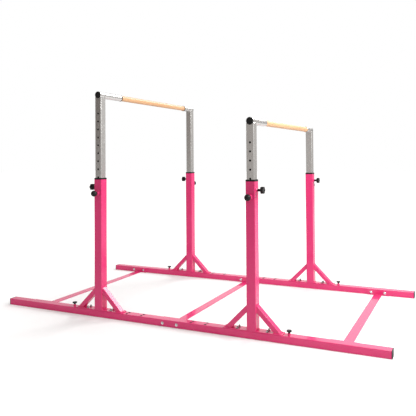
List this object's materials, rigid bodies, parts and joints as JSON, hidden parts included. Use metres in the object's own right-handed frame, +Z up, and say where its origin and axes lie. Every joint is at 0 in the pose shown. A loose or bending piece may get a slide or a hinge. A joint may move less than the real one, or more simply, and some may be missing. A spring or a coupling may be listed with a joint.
{
  "type": "uneven parallel bars",
  "caption": "Gymnastics uneven bars: two wooden rails at different heights on telescopic posts, with braced uprights on a long tubular floor frame.",
  "frame": {"origin": "on the floor at the centre of the base frame", "axes": "+X along the base rails towards the low bar, +Y from the front rail to the rear rail, +Z up"},
  "size_m": [2.774, 1.4386, 1.5505],
  "materials": {
    "pink_powder_coat": "glossy powder coat on steel tube",
    "bright_steel": "bright zinc-plated, satin steel tube",
    "zinc_bolt": "zinc plated",
    "black_plastic": "moulded, fine texture",
    "beech": "sanded light hardwood with grain along the bar"
  },
  "bodies": {
    "base": {"front_rail_middle": "pink_powder_coat", "rear_rail_middle": "pink_powder_coat", "front_left_upright": "pink_powder_coat", "front_left_collar": "black_plastic", "front_right_upright": "pink_powder_coat", "front_right_collar": "black_plastic", "rear_left_upright": "pink_powder_coat", "rear_left_collar": "black_plastic", "rear_right_upright": "pink_powder_coat", "rear_right_collar": "black_plastic", "middle_cross_member": "pink_powder_coat", "front_middle_bolt_left": "zinc_bolt", "front_middle_bolt_right": "zinc_bolt"},
    "left_end_frame": {"front_rail_left": "pink_powder_coat", "front_left_rail_coupler": "bright_steel", "front_left_rail_cap": "black_plastic", "rear_rail_left": "pink_powder_coat", "rear_left_rail_coupler": "bright_steel", "rear_left_rail_cap": "black_plastic", "left_cross_member": "pink_powder_coat"},
    "right_end_frame": {"front_rail_right": "pink_powder_coat", "front_right_rail_coupler": "bright_steel", "front_right_rail_cap": "black_plastic", "rear_rail_right": "pink_powder_coat", "rear_right_rail_coupler": "bright_steel", "rear_right_rail_cap": "black_plastic", "right_cross_member": "pink_powder_coat"},
    "high_bar": {"high_bar_front_post": "bright_steel", "high_bar_front_cap": "black_plastic", "high_bar_front_screw": "zinc_bolt", "high_bar_front_ring": "black_plastic", "high_bar_rear_post": "bright_steel", "high_bar_rear_cap": "black_plastic", "high_bar_rear_screw": "zinc_bolt", "high_bar_rear_ring": "black_plastic", "high_bar_wooden_bar": "beech"},
    "low_bar": {"low_bar_front_post": "bright_steel", "low_bar_front_cap": "black_plastic", "low_bar_front_screw": "zinc_bolt", "low_bar_rear_post": "bright_steel", "low_bar_rear_cap": "black_plastic", "low_bar_rear_screw": "zinc_bolt", "low_bar_wooden_bar": "beech"},
    "front_left_pull_pin": {"front_left_pull_pin": "zinc_bolt", "front_left_pull_pin_knob": "black_plastic"},
    "front_left_clamp_knob": {"front_left_clamp_knob": "black_plastic"},
    "front_left_rail_knob": {"front_left_rail_knob": "black_plastic"},
    "front_right_pull_pin": {"front_right_pull_pin": "zinc_bolt", "front_right_pull_pin_knob": "black_plastic"},
    "front_right_clamp_knob": {"front_right_clamp_knob": "black_plastic"},
    "front_right_rail_knob": {"front_right_rail_knob": "black_plastic"},
    "rear_left_pull_pin": {"rear_left_pull_pin": "zinc_bolt", "rear_left_pull_pin_knob": "black_plastic"},
    "rear_left_clamp_knob": {"rear_left_clamp_knob": "black_plastic"},
    "rear_left_rail_knob": {"rear_left_rail_knob": "black_plastic"},
    "rear_right_pull_pin": {"rear_right_pull_pin": "zinc_bolt", "rear_right_pull_pin_knob": "black_plastic"},
    "rear_right_clamp_knob": {"rear_right_clamp_knob": "black_plastic"},
    "rear_right_rail_knob": {"rear_right_rail_knob": "black_plastic"}
  },
  "joints": [
    {"name": "high_bar_height", "type": "slide", "parent": "base", "child": "high_bar", "axis": [0, 0, 1], "range_m": [-0.55, 0]},
    {"name": "low_bar_height", "type": "slide", "parent": "base", "child": "low_bar", "axis": [0, 0, 1], "range_m": [-0.33, 0.22]},
    {"name": "left_end_pull_off", "type": "slide", "parent": "base", "child": "left_end_frame", "axis": [-1, 0, 0], "range_m": [0, 0.1]},
    {"name": "right_end_pull_off", "type": "slide", "parent": "base", "child": "right_end_frame", "axis": [1, 0, 0], "range_m": [0, 0.1]},
    {"name": "front_left_pull_pin_slide", "type": "slide", "parent": "base", "child": "front_left_pull_pin", "axis": [0, -1, 0], "range_m": [-0.006, 0.004], "stiffness_N_per_m": 300},
    {"name": "front_left_clamp_knob_turn", "type": "hinge", "parent": "base", "child": "front_left_clamp_knob", "pos_m": [-0.636, -0.63, 0.888], "axis": [-1, 0, 0], "continuous": true},
    {"name": "front_left_rail_knob_turn", "type": "hinge", "parent": "base", "child": "front_left_rail_knob", "pos_m": [-0.797, -0.63, 0.065], "axis": [0, 0, 1], "continuous": true},
    {"name": "front_right_pull_pin_slide", "type": "slide", "parent": "base", "child": "front_right_pull_pin", "axis": [0, -1, 0], "range_m": [-0.006, 0.004], "stiffness_N_per_m": 300},
    {"name": "front_right_clamp_knob_turn", "type": "hinge", "parent": "base", "child": "front_right_clamp_knob", "pos_m": [0.636, -0.63, 0.888], "axis": [1, 0, 0], "continuous": true},
    {"name": "front_right_rail_knob_turn", "type": "hinge", "parent": "base", "child": "front_right_rail_knob", "pos_m": [0.797, -0.63, 0.065], "axis": [0, 0, 1], "continuous": true},
    {"name": "rear_left_pull_pin_slide", "type": "slide", "parent": "base", "child": "rear_left_pull_pin", "axis": [0, 1, 0], "range_m": [-0.006, 0.004], "stiffness_N_per_m": 300},
    {"name": "rear_left_clamp_knob_turn", "type": "hinge", "parent": "base", "child": "rear_left_clamp_knob", "pos_m": [-0.636, 0.63, 0.888], "axis": [-1, 0, 0], "continuous": true},
    {"name": "rear_left_rail_knob_turn", "type": "hinge", "parent": "base", "child": "rear_left_rail_knob", "pos_m": [-0.797, 0.63, 0.065], "axis": [0, 0, 1], "continuous": true},
    {"name": "rear_right_pull_pin_slide", "type": "slide", "parent": "base", "child": "rear_right_pull_pin", "axis": [0, 1, 0], "range_m": [-0.006, 0.004], "stiffness_N_per_m": 300},
    {"name": "rear_right_clamp_knob_turn", "type": "hinge", "parent": "base", "child": "rear_right_clamp_knob", "pos_m": [0.636, 0.63, 0.888], "axis": [1, 0, 0], "continuous": true},
    {"name": "rear_right_rail_knob_turn", "type": "hinge", "parent": "base", "child": "rear_right_rail_knob", "pos_m": [0.797, 0.63, 0.065], "axis": [0, 0, 1], "continuous": true}
  ]
}
